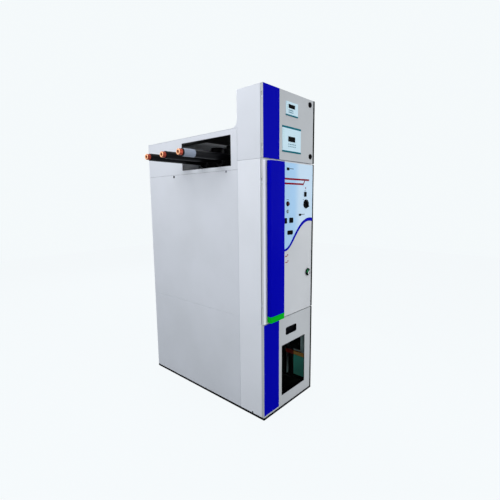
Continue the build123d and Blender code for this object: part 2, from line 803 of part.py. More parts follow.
door_lock_inset = 73.0
door_lock_lift = 289.0
mimic_face = front - mimic_sheet
knob_plane = facing_front(right - knob_inset, mechanism_leaf_top - knob_drop, mimic_face)
lock_plane = facing_front(right - door_lock_inset, shelf_level + door_lock_lift)
with BuildPart() as panel_controls:
    with BuildSketch(knob_plane):
        Circle(knob_r)
    extrude(amount=knob_base)
    with BuildSketch(knob_plane.offset(knob_base)):
        Rectangle(knob_grip_width, 2 * knob_r - knob_base)
    extrude(amount=knob_grip_rise)
    with BuildSketch(facing_front(right - button_inset, mechanism_leaf_top - button_drop, mimic_face)):
        Circle(button_r)
    extrude(amount=button_rise)
    with BuildSketch(facing_front(right - button_inset, mechanism_leaf_top - lamp_drop, mimic_face)):
        Circle(lamp_r)
    extrude(amount=lamp_rise)
    for inset, drop, sign_width, sign_rise in indicators:
        with BuildSketch(facing_front(right - inset, mechanism_leaf_top - drop, mimic_face)):
            Rectangle(sign_width, sign_rise)
        extrude(amount=indicator_rise)
    with BuildSketch(lock_plane):
        Circle(door_lock_r)
    extrude(amount=door_lock_rim)
    with BuildSketch(lock_plane.offset(door_lock_rim)):
        Circle(door_lock_cap_r)
    extrude(amount=door_lock_cap - door_lock_rim)
save(panel_controls.part, "panel_controls")

# Lower cover of the cable compartment, screwed on, with its window and grip.
grip_x = 19.5
grip_width = 129.0
grip_rise = 51.0
grip_drop = 111.0
grip_wall = 2.0
grip_level = cover_top - grip_drop
pane_x = 53.5
pane_level = 292.5
pane_width = 297.0
pane_rise = 385.0
pane_lap = 15.0
pane_thickness = 6.0
cover_depth = leaf_depth + leaf_gap
cover_face = front_plane(front, leaf_left, leaf_right, floor_clearance, cover_top)
with BuildPart() as cable_cover:
    add(folded_panel(cover_face, leaf_right - leaf_left, cover_top - floor_clearance, cover_depth))
    with BuildSketch(facing_front(grip_x, grip_level)):
        Rectangle(grip_width, grip_rise)
    extrude(amount=-sheet, mode=Mode.SUBTRACT)
    with BuildSketch(facing_front(pane_x, pane_level)):
        Rectangle(pane_width, pane_rise)
    extrude(amount=-sheet, mode=Mode.SUBTRACT)
save(cable_cover.part, "cable_cover")
with BuildPart() as cable_window:
    with BuildSketch(facing_front(pane_x, pane_level, front + sheet)):
        Rectangle(pane_width + 2 * pane_lap, pane_rise + 2 * pane_lap)
    extrude(amount=-pane_thickness)
save(cable_window.part, "cable_window")
with BuildPart() as cover_grip:
    with BuildSketch(facing_front(grip_x, grip_level)):
        Rectangle(grip_width, grip_rise)
    extrude(amount=-cover_depth)
    with BuildSketch(facing_front(grip_x, grip_level)):
        Rectangle(grip_width - 2 * grip_wall, grip_rise - 2 * grip_wall)
    extrude(amount=-(cover_depth - grip_wall), mode=Mode.SUBTRACT)
save(cover_grip.part, "cover_grip")
save(edge_seal(floor_clearance, cover_top), "cable_cover_seal")
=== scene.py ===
import json
import math
import bmesh
import bpy
from mathutils import Matrix, Vector


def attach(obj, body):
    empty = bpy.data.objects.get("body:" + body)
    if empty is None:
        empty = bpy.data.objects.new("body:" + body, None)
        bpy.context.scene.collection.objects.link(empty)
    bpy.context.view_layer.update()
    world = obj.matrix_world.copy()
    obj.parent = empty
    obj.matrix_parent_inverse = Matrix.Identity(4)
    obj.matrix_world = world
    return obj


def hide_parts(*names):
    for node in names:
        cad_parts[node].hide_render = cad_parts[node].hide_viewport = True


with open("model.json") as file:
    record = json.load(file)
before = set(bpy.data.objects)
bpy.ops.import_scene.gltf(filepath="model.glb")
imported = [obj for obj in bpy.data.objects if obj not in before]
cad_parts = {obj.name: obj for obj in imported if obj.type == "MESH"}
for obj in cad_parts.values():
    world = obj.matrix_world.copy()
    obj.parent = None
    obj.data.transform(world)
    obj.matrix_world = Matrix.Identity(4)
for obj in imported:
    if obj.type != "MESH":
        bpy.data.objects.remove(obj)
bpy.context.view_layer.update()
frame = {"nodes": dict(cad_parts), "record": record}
nodes = frame["nodes"]

# The floor is plain and pale. It shows the cubicle's shadow faintly, and to the camera it
# runs into the white backdrop, as in a cut-out studio picture. It throws little light back.
backdrop_white = (0.91, 0.95, 0.965, 1.0)
floor_bounce = (0.20, 0.22, 0.22, 1.0)
floor_half = 9.0
floor_mesh = bmesh.new()
bmesh.ops.create_grid(floor_mesh, x_segments=1, y_segments=1, size=floor_half)
floor_data = bpy.data.meshes.new("studio_floor")
floor_mesh.to_mesh(floor_data)
floor_mesh.free()
studio_floor = bpy.data.objects.new("studio_floor", floor_data)
bpy.context.scene.collection.objects.link(studio_floor)
floor_paint = bpy.data.materials.new("floor_paint")
floor_paint.use_nodes = True
tree = floor_paint.node_tree
tree.nodes.clear()
light_path = tree.nodes.new("ShaderNodeLightPath")
lit = tree.nodes.new("ShaderNodeBsdfDiffuse")
lit.inputs["Color"].default_value = floor_bounce
glow = tree.nodes.new("ShaderNodeEmission")
glow.inputs["Color"].default_value = (1.035, 1.075, 1.095, 1.0)
seen = tree.nodes.new("ShaderNodeMath")
seen.operation = "MAXIMUM"
share = tree.nodes.new("ShaderNodeMath")
share.operation = "MULTIPLY"
share.inputs[1].default_value = 0.86
blend = tree.nodes.new("ShaderNodeMixShader")
surface = tree.nodes.new("ShaderNodeOutputMaterial")
tree.links.new(light_path.outputs["Is Camera Ray"], seen.inputs[0])
tree.links.new(light_path.outputs["Is Transmission Ray"], seen.inputs[1])
tree.links.new(seen.outputs[0], share.inputs[0])
tree.links.new(share.outputs[0], blend.inputs["Fac"])
tree.links.new(lit.outputs["BSDF"], blend.inputs[1])
tree.links.new(glow.outputs["Emission"], blend.inputs[2])
tree.links.new(blend.outputs[0], surface.inputs["Surface"])
floor_data.materials.append(floor_paint)

# The sky behind is white to the camera and in reflections, and it lights the object at a
# plain level. A large soft lamp stands high on the left, others at the front and the back,
# and a weak one on the right shines in at the busbar housing's window.
studio = bpy.data.worlds.new("studio")
bpy.context.scene.world = studio
studio.use_nodes = True
tree = studio.node_tree
tree.nodes.clear()
light_path = tree.nodes.new("ShaderNodeLightPath")
mirror_or_camera = tree.nodes.new("ShaderNodeMath")
mirror_or_camera.operation = "MAXIMUM"
or_glass = tree.nodes.new("ShaderNodeMath")
or_glass.operation = "MAXIMUM"
ambient = tree.nodes.new("ShaderNodeBackground")
ambient.inputs["Color"].default_value = (0.93, 0.96, 1.0, 1.0)
ambient.inputs["Strength"].default_value = 0.50
white = tree.nodes.new("ShaderNodeBackground")
white.inputs["Color"].default_value = backdrop_white
blend = tree.nodes.new("ShaderNodeMixShader")
sky = tree.nodes.new("ShaderNodeOutputWorld")
tree.links.new(light_path.outputs["Is Camera Ray"], mirror_or_camera.inputs[0])
tree.links.new(light_path.outputs["Is Glossy Ray"], mirror_or_camera.inputs[1])
tree.links.new(mirror_or_camera.outputs[0], or_glass.inputs[0])
tree.links.new(light_path.outputs["Is Transmission Ray"], or_glass.inputs[1])
tree.links.new(or_glass.outputs[0], blend.inputs["Fac"])
tree.links.new(ambient.outputs[0], blend.inputs[1])
tree.links.new(white.outputs[0], blend.inputs[2])
tree.links.new(blend.outputs[0], sky.inputs["Surface"])
for lamp_name, place, target, size, watts in (
    ("key_lamp", (-3.3, -0.3, 3.6), (-0.3, 0.0, 1.3), 3.0, 98.0),
    ("fill_lamp", (0.9, -4.6, 1.35), (0.0, -0.6, 1.2), 2.6, 92.0),
    ("side_lamp", (2.4, -0.45, 0.95), (0.1, 0.25, 1.98), 0.9, 11.0),
    ("back_lamp", (1.8, 4.4, 3.4), (0.0, 0.6, 1.1), 2.8, 90.0),
):
    lamp_data = bpy.data.lights.new(lamp_name, "AREA")
    lamp_data.shape = "DISK"
    lamp_data.size = size
    lamp_data.energy = watts
    lamp = bpy.data.objects.new(lamp_name, lamp_data)
    lamp.location = place
    aim = Vector(target) - Vector(place)
    lamp.rotation_euler = aim.to_track_quat("-Z", "Y").to_euler()
    bpy.context.scene.collection.objects.link(lamp)

# The camera stands where the photograph was taken from, at eye height to the front left.
camera_data = bpy.data.cameras.new("photo_camera")
camera_data.sensor_width = 36.0
camera_data.lens = 25.096
camera = bpy.data.objects.new("photo_camera", camera_data)
camera.location = (-2.0332, -2.0885, 1.5289)
heading = Matrix.Rotation(math.radians(-48.004), 4, "Z")
tilt = Matrix.Rotation(math.radians(90.0 - 8.025), 4, "X")
roll = Matrix.Rotation(math.radians(-0.559), 4, "Z")
camera.rotation_euler = (heading @ tilt @ roll).to_euler()
bpy.context.scene.collection.objects.link(camera)
bpy.context.scene.camera = camera
bpy.context.scene.view_settings.view_transform = "Standard"


# The base is welded angle section in black powder coat. It stands on the floor and carries
# the four posts, the panels and the tank.
def coat(name, colour, shade, roughness, specular=0.5, grain=900.0, grain_rise=0.00002, metallic=0.0):
    """Coated or plain surface: a soft drift of tone where the shade differs from the colour,
    and a fine grain in bump and gloss.
    """
    material = bpy.data.materials.new(name)
    material.use_nodes = True
    tree = material.node_tree
    bsdf = tree.nodes["Principled BSDF"]
    bsdf.inputs["Metallic"].default_value = metallic
    bsdf.inputs["Specular IOR Level"].default_value = specular
    bsdf.inputs["Base Color"].default_value = (*colour, 1.0)
    place = tree.nodes.new("ShaderNodeTexCoord")
    if shade != colour:
        drift = tree.nodes.new("ShaderNodeTexNoise")
        drift.inputs["Scale"].default_value = 2.2
        drift.inputs["Detail"].default_value = 3.0
        tone = tree.nodes.new("ShaderNodeValToRGB")
        tone.color_ramp.elements[0].position = 0.30
        tone.color_ramp.elements[0].color = (*shade, 1.0)
        tone.color_ramp.elements[1].position = 0.62
        tone.color_ramp.elements[1].color = (*colour, 1.0)
        tree.links.new(place.outputs["Object"], drift.inputs["Vector"])
        tree.links.new(drift.outputs["Fac"], tone.inputs["Fac"])
        tree.links.new(tone.outputs["Color"], bsdf.inputs["Base Color"])
    fine = tree.nodes.new("ShaderNodeTexNoise")
    fine.inputs["Scale"].default_value = grain
    fine.inputs["Detail"].default_value = 2.0
    gloss = tree.nodes.new("ShaderNodeMapRange")
    gloss.inputs["To Min"].default_value = roughness - 0.05
    gloss.inputs["To Max"].default_value = roughness + 0.07
    bump = tree.nodes.new("ShaderNodeBump")
    bump.inputs["Strength"].default_value = 1.0
    bump.inputs["Distance"].default_value = grain_rise
    tree.links.new(place.outputs["Object"], fine.inputs["Vector"])
    tree.links.new(fine.outputs["Fac"], gloss.inputs["Value"])
    tree.links.new(gloss.outputs["Result"], bsdf.inputs["Roughness"])
    tree.links.new(fine.outputs["Fac"], bump.inputs["Height"])
    tree.links.new(bump.outputs["Normal"], bsdf.inputs["Normal"])
    return material


def finish(material, *names):
    """Give CAD pieces their finish, each in its own material slot."""
    for name in names:
        piece = nodes[name]
        if not piece.material_slots:
            piece.data.materials.append(material)
        for material_slot in piece.material_slots:
            material_slot.material = material


body_of_node = {
    name: body for body, names in frame["record"]["behaviour"]["bodies"].items() for name in names
}


def piece_on(node, name, shape, material, stands_for=False, smooth_below=40.0):
    """Object made from a finished bmesh. It rides with a CAD piece, or stands for it."""
    data = bpy.data.meshes.new(name)
    shape.to_mesh(data)
    shape.free()
    for face in data.polygons:
        face.use_smooth = True
    data.set_sharp_from_angle(angle=math.radians(smooth_below))
    data.materials.append(material)
    piece = bpy.data.objects.new(name, data)
    bpy.context.scene.collection.objects.link(piece)
    flat_shading = piece.modifiers.new("flat_faces", "WEIGHTED_NORMAL")
    flat_shading.keep_sharp = True
    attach(piece, body_of_node[node])
    if stands_for:
        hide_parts(node)


def fold_edges(node, material, edge, steps=2, flat_faces=True):
    """Copy of a CAD piece with its sharp outer edges rounded, standing for that piece."""
    shape = bmesh.new()
    shape.from_mesh(nodes[node].data)
    bmesh.ops.remove_doubles(shape, verts=shape.verts, dist=0.00002)
    if flat_faces:
        bmesh.ops.dissolve_limit(
            shape, angle_limit=math.radians(1.0), verts=shape.verts, edges=shape.edges,
        )
    sharp = [
        e for e in shape.edges
        if len(e.link_faces) == 2 and e.is_convex and e.calc_face_angle(0.0) > math.radians(50.0)
    ]
    bmesh.ops.bevel(
        shape, geom=sharp, offset=edge, offset_type="OFFSET", segments=steps, profile=0.5,
        affect="EDGES", clamp_overlap=True, material=-1,
    )
    piece_on(node, node + "_folded", shape, material, stands_for=True)


base_black = coat("base_black", (0.006, 0.006, 0.007), (0.004, 0.004, 0.005), 0.50, 0.1)
finish(base_black, "base_frame")

# The rails, the shelf, the clamp rail and the drives' plate are bright zinc-coated steel,
# bolted and riveted to the posts.
zinc = coat("zinc_sheet", (0.60, 0.62, 0.64), (0.44, 0.46, 0.48), 0.38, 0.5, 160.0, 0.00001, 0.85)
finish(zinc, "tank_rails", "mechanism_shelf", "cable_clamp_rail", "mechanism_plate")


def node_of(material, kind):
    """The first shader node of one kind in a material."""
    return next(n for n in material.node_tree.nodes if n.bl_idname == kind)


def where(material, *limits):
    """Socket that is 1 where the place on the object is within every limit, and 0 elsewhere."""
    tree = material.node_tree
    axes = tree.nodes.new("ShaderNodeSeparateXYZ")
    tree.links.new(node_of(material, "ShaderNodeTexCoord").outputs["Object"], axes.inputs[0])
    joined = None
    for axis, rule, limit in limits:
        source = axes.outputs[axis[-1]]
        if axis.startswith("|"):
            size = tree.nodes.new("ShaderNodeMath")
            size.operation = "ABSOLUTE"
            tree.links.new(source, size.inputs[0])
            source = size.outputs[0]
        test = tree.nodes.new("ShaderNodeMath")
        test.operation = rule
        test.inputs[1].default_value = limit
        tree.links.new(source, test.inputs[0])
        if joined is None:
            joined = test.outputs[0]
            continue
        both = tree.nodes.new("ShaderNodeMath")
        both.operation = "MULTIPLY"
        tree.links.new(joined, both.inputs[0])
        tree.links.new(test.outputs[0], both.inputs[1])
        joined = both.outputs[0]
    return joined


def second_colour(material, colour, factor):
    """Give a coat a second colour, mixed in by a factor socket."""
    tree = material.node_tree
    mix = tree.nodes.new("ShaderNodeMix")
    mix.data_type = "RGBA"
    mix.inputs["B"].default_value = (*colour, 1.0)
    tree.links.new(factor, mix.inputs["Factor"])
    bsdf = node_of(material, "ShaderNodeBsdfPrincipled")
    tree.links.new(node_of(material, "ShaderNodeValToRGB").outputs["Color"], mix.inputs["A"])
    tree.links.new(mix.outputs["Result"], bsdf.inputs["Base Color"])


# The frame is zinc-coated too. In the cable compartment it is painted near-black, as painted shade.
frame_zinc = coat("frame_zinc", (0.60, 0.62, 0.64), (0.44, 0.46, 0.48), 0.38, 0.3, 160.0, 0.00001)
compartment_top, compartment_back = 0.690, -0.150
compartment_painted_shade = where(
    frame_zinc, ("Z", "LESS_THAN", compartment_top), ("Y", "LESS_THAN", compartment_back),
)
second_colour(frame_zinc, (0.003, 0.003, 0.004), compartment_painted_shade)
finish(frame_zinc, "cabinet_frame")

# The cubicle's side, rear and top panels are folded sheet steel with a smooth light grey
# powder coat. Their edges are bent, not cut sharp, so each edge catches a thin line of light.
cabinet_grey = coat("cabinet_grey", (0.72, 0.75, 0.82), (0.67, 0.70, 0.76), 0.42, 0.35)
for panel_name in (
    "left_lower_side_panel", "right_lower_side_panel",
    "left_upper_side_panel", "right_upper_side_panel", "rear_lower_panel", "rear_upper_panel",
):
    fold_edges(panel_name, cabinet_grey, 0.0012)
fold_edges("relay_box", cabinet_grey, 0.0012, flat_faces=False)
finish(cabinet_grey, "relay_box_fairing", "hinge_brackets")

# The narrow panels at the front of each side are folded sheet too. Their coat is the sides' coat painted
# lighter, as painted light.
front_grey_painted_light = coat("front_grey_painted_light", (0.82, 0.85, 0.92), (0.77, 0.80, 0.86), 0.42, 0.35)
for panel_name in ("left_front_panel", "right_front_panel"):
    fold_edges(panel_name, front_grey_painted_light, 0.0010)

# The busbar housing has the sides' coat outside. Inside, its sheets are painted near-black as painted
# shade, and the rear cover stays pale, so most of the light comes in at the two side windows.
housing_grey = coat("housing_grey", (0.72, 0.75, 0.82), (0.67, 0.70, 0.76), 0.42, 0.35)
inner_half, inner_rear, inner_top = 0.2985, 0.6435, 2.0120
housing_painted_shade = where(
    housing_grey, ("|X", "LESS_THAN", inner_half), ("Y", "LESS_THAN", inner_rear),
    ("Z", "LESS_THAN", inner_top),
)
second_colour(housing_grey, (0.010, 0.010, 0.012), housing_painted_shade)
for panel_name in ("busbar_left_side", "busbar_right_side", "busbar_top_cover"):
    fold_edges(panel_name, housing_grey, 0.0010, flat_faces=False)
fold_edges("busbar_rear_cover", cabinet_grey, 0.0010)
# The busbar front wall, the cable partition and the floor plate are near-black as painted shade.
painted_shade_black = coat("painted_shade_black", (0.003, 0.003, 0.004), (0.002, 0.002, 0.002), 0.65, 0.02)
finish(painted_shade_black, "busbar_front_wall", "cable_partition", "floor_plate")

# Panel screws: pan heads with a shallow recess, which hold the sheet panels to the frame. On
# the right side they are set flush with the sheet.
facing = {
    "front": Matrix.Rotation(math.radians(90.0), 4, "X"),
    "rear": Matrix.Rotation(math.radians(-90.0), 4, "X"),
    "left": Matrix.Rotation(math.radians(-90.0), 4, "Y"),
    "right": Matrix.Rotation(math.radians(90.0), 4, "Y"),
    "top": Matrix.Identity(4),
}


def spot(side, x, y, z):
    """Place on the object, with its own Z axis pointing out from that side."""
    return Matrix.Translation((x, y, z)) @ facing[side]


def turn(shape, at, profile, steps=32):
    """Add a turned solid. The profile lists radius and height, from the axis out and back."""
    points = [shape.verts.new(at @ Vector((r, 0.0, h))) for r, h in profile]
    lines = [shape.edges.new(pair) for pair in zip(points, points[1:])]
    axis = at.to_3x3() @ Vector((0.0, 0.0, 1.0))
    bmesh.ops.spin(
        shape, geom=points + lines, cent=at.translation, axis=axis, angle=math.tau,
        steps=steps, use_merge=True,
    )
    verts = list({v for f in shape.faces for v in f.verts if v.is_valid})
    bmesh.ops.remove_doubles(shape, verts=verts, dist=0.000001)


def outline_face(shape, at, width, rise, corner):
    """Add one flat face with rounded corners, and give it back in a list."""
    before = set(shape.faces)
    grid = bmesh.ops.create_grid(
        shape, x_segments=1, y_segments=1, size=0.5,
        matrix=at @ Matrix.Diagonal((width, rise, 1.0, 1.0)),
    )
    if corner:
        bmesh.ops.bevel(
            shape, geom=grid["verts"], offset=corner, offset_type="OFFSET", segments=5, profile=0.5,
            affect="VERTICES", clamp_overlap=True, material=-1,
        )
    return [f for f in shape.faces if f not in before]


def plate(shape, at, width, rise, thick, corner=0.0, edge=0.0):
    """Add a flat plate with rounded corners, and with its front edge eased if asked."""
    back = outline_face(shape, at, width, rise, corner)
    grown = bmesh.ops.extrude_face_region(shape, geom=back)
    top = [f for f in grown["geom"] if isinstance(f, bmesh.types.BMFace)]
    out = at.to_3x3() @ Vector((0.0, 0.0, thick))
    bmesh.ops.translate(shape, verts=list({v for f in top for v in f.verts}), vec=out)
    if edge:
        rim = list({e for f in top for e in f.edges})
        bmesh.ops.bevel(
            shape, geom=rim, offset=edge, offset_type="OFFSET", segments=2, profile=0.5,
            affect="EDGES", clamp_overlap=True, material=-1,
        )


def ring_plate(shape, at, width, rise, wide, thick, corner=0.0):
    """Add a flat frame with an opening, and with rounded outer corners if asked."""
    opening = outline_face(shape, at, width, rise, corner)
    rim = bmesh.ops.inset_region(
        shape, faces=opening, thickness=wide, use_even_offset=True, use_boundary=True,
    )["faces"]
    bmesh.ops.delete(shape, geom=opening, context="FACES_ONLY")
    grown = bmesh.ops.extrude_face_region(shape, geom=rim)
    out = at.to_3x3() @ Vector((0.0, 0.0, thick))
    moved = [v for v in grown["geom"] if isinstance(v, bmesh.types.BMVert)]
    bmesh.ops.translate(shape, verts=moved, vec=out)


def close_up(shape):
    """Merge the doubles of a finished shape and turn its faces outwards."""
    bmesh.ops.remove_doubles(shape, verts=shape.verts, dist=0.000001)
    bmesh.ops.recalc_face_normals(shape, faces=shape.faces)
    return shape


def screws(node, name, places, material, radius=0.0065, rise=0.0028):
    """Pan-head screws on one sheet panel."""
    heads = bmesh.new()
    for at in places:
        turn(heads, at, (
            (0.0, -0.0005), (radius, -0.0005), (radius, rise * 0.35), (radius * 0.86, rise * 0.80),
            (radius * 0.55, rise), (radius * 0.36, rise), (radius * 0.22, rise * 0.45), (0.0, rise * 0.35),
        ), steps=20)
    piece_on(node, name, close_up(heads), material)


screw_black = coat("blackened_screw", (0.005, 0.005, 0.006), (0.003, 0.003, 0.004), 0.42, 0.1, 500.0)
screw_zinc = coat("zinc_screw", (0.30, 0.31, 0.36), (0.22, 0.23, 0.27), 0.40, 0.5, 500.0, 0.00001, 0.6)
for side, x, rise in (("left", -0.300, 0.0028), ("right", 0.2998, 0.0002)):
    for panel, screw, y, z, material, radius in (
        ("_upper_side_panel", "_rear_screw", 0.293, 1.726, screw_black, 0.0095),
        ("_upper_side_panel", "_front_screw", -0.312, 1.733, screw_zinc, 0.0085),
        ("_front_panel", "_foot_screw", -0.540, 0.024, screw_black, 0.0055),
    ):
        screws(side + panel, side + screw, [spot(side, x, y, z)], material, radius, rise)
rear_face, cover_face = 0.643, 2.013
for node, low, high in (
    ("rear_lower_panel", 0.040, 0.684), ("rear_upper_panel", 0.740, 1.711),
    ("busbar_rear_cover", 1.767, 1.984),
):
    screws(node, node + "_screws", [
        spot("rear", x, rear_face, z) for x in (-0.262, 0.0, 0.262) for z in (low, high)
    ], screw_zinc, rise=0.0020)
screws("busbar_top_cover", "top_cover_screws", [
    spot("top", x, y, cover_face) for x in (-0.285, 0.285) for y in (-0.30, 0.11, 0.52, 0.63)
], screw_zinc)

# A thin black strip of rubber runs round the foot of the panels, down to the floor. It lies on
# the front and the left panels, and in line with the others.
kick_rubber = coat("kick_rubber", (0.004, 0.004, 0.005), (0.003, 0.003, 0.004), 0.55, 0.05, 800.0)
strip = bmesh.new()
upright = Matrix.Rotation(math.radians(90.0), 4, "Z")
front_face = -0.645
strip_wide, strip_deep, strip_thick = 0.5990, 1.2890, 0.0012
tall_middle, tall_rise, tall_edge = 0.0085, 0.0165, 0.0004
low_middle, low_rise = 0.0060, 0.0112
at = spot("front", 0.0, front_face, tall_middle)
plate(strip, at, strip_wide, tall_rise, strip_thick, 0.0, tall_edge)
at = spot("left", -0.300, 0.0, tall_middle) @ upright
plate(strip, at, strip_deep, tall_rise, strip_thick, 0.0, tall_edge)
plate(strip, spot("rear", 0.0, 0.6438, low_middle), strip_wide, low_rise, strip_thick)
plate(strip, spot("right", 0.2988, 0.0, low_middle) @ upright, strip_deep, low_rise, strip_thick)
piece_on("base_frame", "kick_strip", close_up(strip), kick_rubber)

# The gas tank is a welded box of stainless steel sheet. It is closed for life, and stands
# with a foot flange on the two rails.
stainless = coat("stainless_sheet", (0.58, 0.59, 0.60), (0.50, 0.51, 0.52), 0.30, 0.5, 420.0, 0.000006, 1.0)
finish(stainless, "gas_tank")

# Busbars: copper tube in a black insulating sleeve. The bare tips reach out to the left for
# the next panel's joint, and each has a turned lead-in and a shallow bore.
rubber = coat("moulded_rubber", (0.005, 0.005, 0.006), (0.003, 0.003, 0.004), 0.45, 0.08, 700.0, 0.00002)
sleeve_black = coat(
    "busbar_sleeve", (0.004, 0.004, 0.005), (0.002, 0.002, 0.003), 0.36, 0.10, 500.0, 0.00001,
)
copper = coat("bare_copper", (0.42, 0.050, 0.020), (0.26, 0.026, 0.012), 0.38, 0.4, 500.0, 0.00001, 0.25)
# The tips' end faces and lead-ins are painted brighter orange as a painted highlight.
tip_highlight_plane = -0.6682
second_colour(copper, (1.0, 0.50, 0.26), where(copper, ("X", "LESS_THAN", tip_highlight_plane)))
bar_level = 1.837
bar_depths = (-0.265, -0.085, 0.095)
sleeve_root, sleeve_end = -0.020, -0.644
tips = bmesh.new()
for y in bar_depths:
    turn(tips, spot("left", sleeve_end, y, bar_level), (
        (0.0, -0.004), (0.020, -0.004), (0.020, 0.0225), (0.0195, 0.0240), (0.0180, 0.0255),
        (0.0165, 0.0260), (0.0105, 0.0260), (0.0095, 0.0250), (0.0095, 0.0140), (0.0, 0.0140),
    ), steps=48)
piece_on("busbar_contacts", "busbar_tips", close_up(tips), copper, stands_for=True)
sleeves = bmesh.new()
for y in bar_depths:
    turn(sleeves, spot("left", sleeve_root, y, bar_level), (
        (0.0, 0.0), (0.025, 0.0), (0.025, 0.598), (0.0247, 0.6005), (0.0247, 0.6020), (0.025, 0.6045),
        (0.025, 0.6205), (0.0243, 0.6228), (0.0225, 0.6240), (0.0, 0.6240),
    ), steps=48)
piece_on("busbars", "busbar_sleeves", close_up(sleeves), sleeve_black, stands_for=True)

# A grey band near the end of the front bar is a painted highlight, and a pale sheet under the lid is
# painted light.
bar_highlight_grey = coat("bar_painted_highlight", (0.24, 0.28, 0.36), (0.16, 0.19, 0.26), 0.34, 0.3, 500.0, 0.00001)
highlight_start = -0.545
highlight_band = bmesh.new()
turn(highlight_band, spot("left", highlight_start, bar_depths[0], bar_level), (
    (0.0245, 0.0), (0.0255, 0.0008), (0.0257, 0.0030), (0.0257, 0.0880), (0.0255, 0.0905),
    (0.0245, 0.0915), (0.0245, 0.0),
), steps=48)
piece_on("busbars", "first_bar_painted_highlight", close_up(highlight_band), bar_highlight_grey)
light_patch_pale = coat("lid_painted_light", (0.86, 0.88, 0.92), (0.78, 0.80, 0.85), 0.6, 0.2, 500.0, 0.00003)
light_patch_under = 2.0085
light_patch_sheet = bmesh.new()
plate(light_patch_sheet, spot("top", 0.115, 0.385, light_patch_under), 0.330, 0.430, 0.0024, 0.010)
piece_on("busbar_top_cover", "lid_painted_light", close_up(light_patch_sheet), light_patch_pale)

# Adapters: moulded rubber crosses on the tank's bushings. The sleeve's rim takes the bar on
# the left, a plug closes it on the right, and the column has a domed cap.
column_foot, column_top = 1.749, 1.961
cross_end = 0.136
crosses = bmesh.new()
for y in bar_depths:
    rise = column_top - column_foot
    turn(crosses, spot("top", 0.0, y, column_foot), (
        (0.0, 0.0), (0.051, 0.0), (0.051, 0.010), (0.0495, 0.012), (0.0495, rise - 0.020),
        (0.051, rise - 0.018), (0.051, rise - 0.006), (0.0495, rise - 0.002), (0.046, rise),
        (0.030, rise), (0.027, rise - 0.003), (0.0, rise - 0.003),
    ), steps=48)
    turn(crosses, spot("left", cross_end, y, bar_level), (
        (0.0, 0.0), (0.041, 0.0), (0.041, 0.264), (0.0425, 0.2695), (0.0455, 0.2725), (0.046, 0.2745),
        (0.046, 0.2835), (0.0447, 0.2853), (0.042, 0.286), (0.0275, 0.286), (0.0255, 0.284),
        (0.0255, 0.276), (0.0, 0.276),
    ), steps=48)
piece_on("busbar_adapters", "busbar_crosses", close_up(crosses), rubber, stands_for=True)
plugs = bmesh.new()
for y in bar_depths:
    turn(plugs, spot("right", cross_end, y, bar_level), (
        (0.0, 0.0), (0.0455, 0.0), (0.046, 0.002), (0.046, 0.012), (0.0445, 0.014), (0.041, 0.015),
        (0.039, 0.028), (0.0375, 0.030), (0.012, 0.030), (0.0105, 0.0275), (0.0, 0.0275),
    ), steps=48)
piece_on("busbar_end_plugs", "busbar_closing_plugs", close_up(plugs), rubber, stands_for=True)
finish(rubber, "window_edging")

# The bushings carry the current through the tank's roof. Each is cast in resin in one piece
# with its flange, and four bolts hold it down.
cast_grey = coat("cast_grey", (0.30, 0.31, 0.32), (0.24, 0.25, 0.26), 0.50, 0.4, 300.0, 0.00005)
resin_dark = coat("cast_resin", (0.045, 0.040, 0.038), (0.030, 0.027, 0.026), 0.45, 0.4, 260.0, 0.00005)
finish(resin_dark, "busbar_bushings")
bolt_spread, flange_top, head_rise = 0.052, 1.7488, 0.006
bolts = bmesh.new()
for y in bar_depths:
    for dx in (-bolt_spread, bolt_spread):
        for dy in (-bolt_spread, bolt_spread):
            at = spot("top", dx, y + dy, flange_top)
            bmesh.ops.create_cone(
                bolts, cap_ends=True, segments=6, radius1=0.0065, radius2=0.0062, depth=head_rise,
                matrix=at @ Matrix.Translation((0.0, 0.0, head_rise / 2)),
            )
piece_on("busbar_bushings", "bushing_bolts", close_up(bolts), zinc)

# Terminals in the relay box: two rows of plastic clamps, snapped on a rail at the back wall,
# each with its two screws.
terminal_grey = coat("terminal_plastic", (0.42, 0.44, 0.42), (0.35, 0.37, 0.35), 0.45, 0.4, 700.0, 0.00003)
finish(terminal_grey, "terminal_rows")
clamps_in_row, clamp_pitch, clamp_face = 16, 0.024, -0.4695
heads = bmesh.new()
for row_z in (1.9185, 2.1285):
    for index in range(clamps_in_row):
        x = (index - (clamps_in_row - 1) / 2) * clamp_pitch
        for dz in (-0.020, 0.020):
            turn(heads, spot("front", x, clamp_face, row_z + dz), (
                (0.0, -0.0005), (0.0042, -0.0005), (0.0042, 0.0010), (0.0034, 0.0015), (0.0, 0.0015),
            ), steps=10)
piece_on("terminal_rows", "terminal_screws", close_up(heads), screw_zinc)

# The drives stand on a plate in front of the tank. Their frames are painted castings, with
# a closing spring and an opening spring of bright steel wire between the cheeks.
finish(cast_grey, "operating_drives")
spring_steel = coat("spring_steel", (0.50, 0.50, 0.52), (0.36, 0.36, 0.38), 0.32, 0.5, 400.0, 0.00001, 0.9)
springs = bmesh.new()
wire_r, coil_r, turns_of_wire, spring_rise = 0.0042, 0.022, 11, 0.150
coil_steps = turns_of_wire * 20
spring_y, spring_foot = -0.487, 1.372
for x in (-0.068, 0.068):
    ring = bmesh.ops.create_circle(
        springs, cap_ends=False, segments=8, radius=wire_r,
        matrix=Matrix.Translation((x + coil_r, spring_y, spring_foot)) @ facing["front"],
    )
    bmesh.ops.spin(
        springs, geom=ring["verts"] + list({e for v in ring["verts"] for e in v.link_edges}),
        cent=(x, spring_y, spring_foot), axis=(0.0, 0.0, 1.0), angle=math.tau * turns_of_wire,
        dvec=(0.0, 0.0, spring_rise / coil_steps), steps=coil_steps, use_merge=False,
    )
open_ends = [e for e in springs.edges if e.is_boundary]
bmesh.ops.holes_fill(springs, edges=open_ends, sides=8)
piece_on("operating_drives", "drive_springs", close_up(springs), spring_steel)

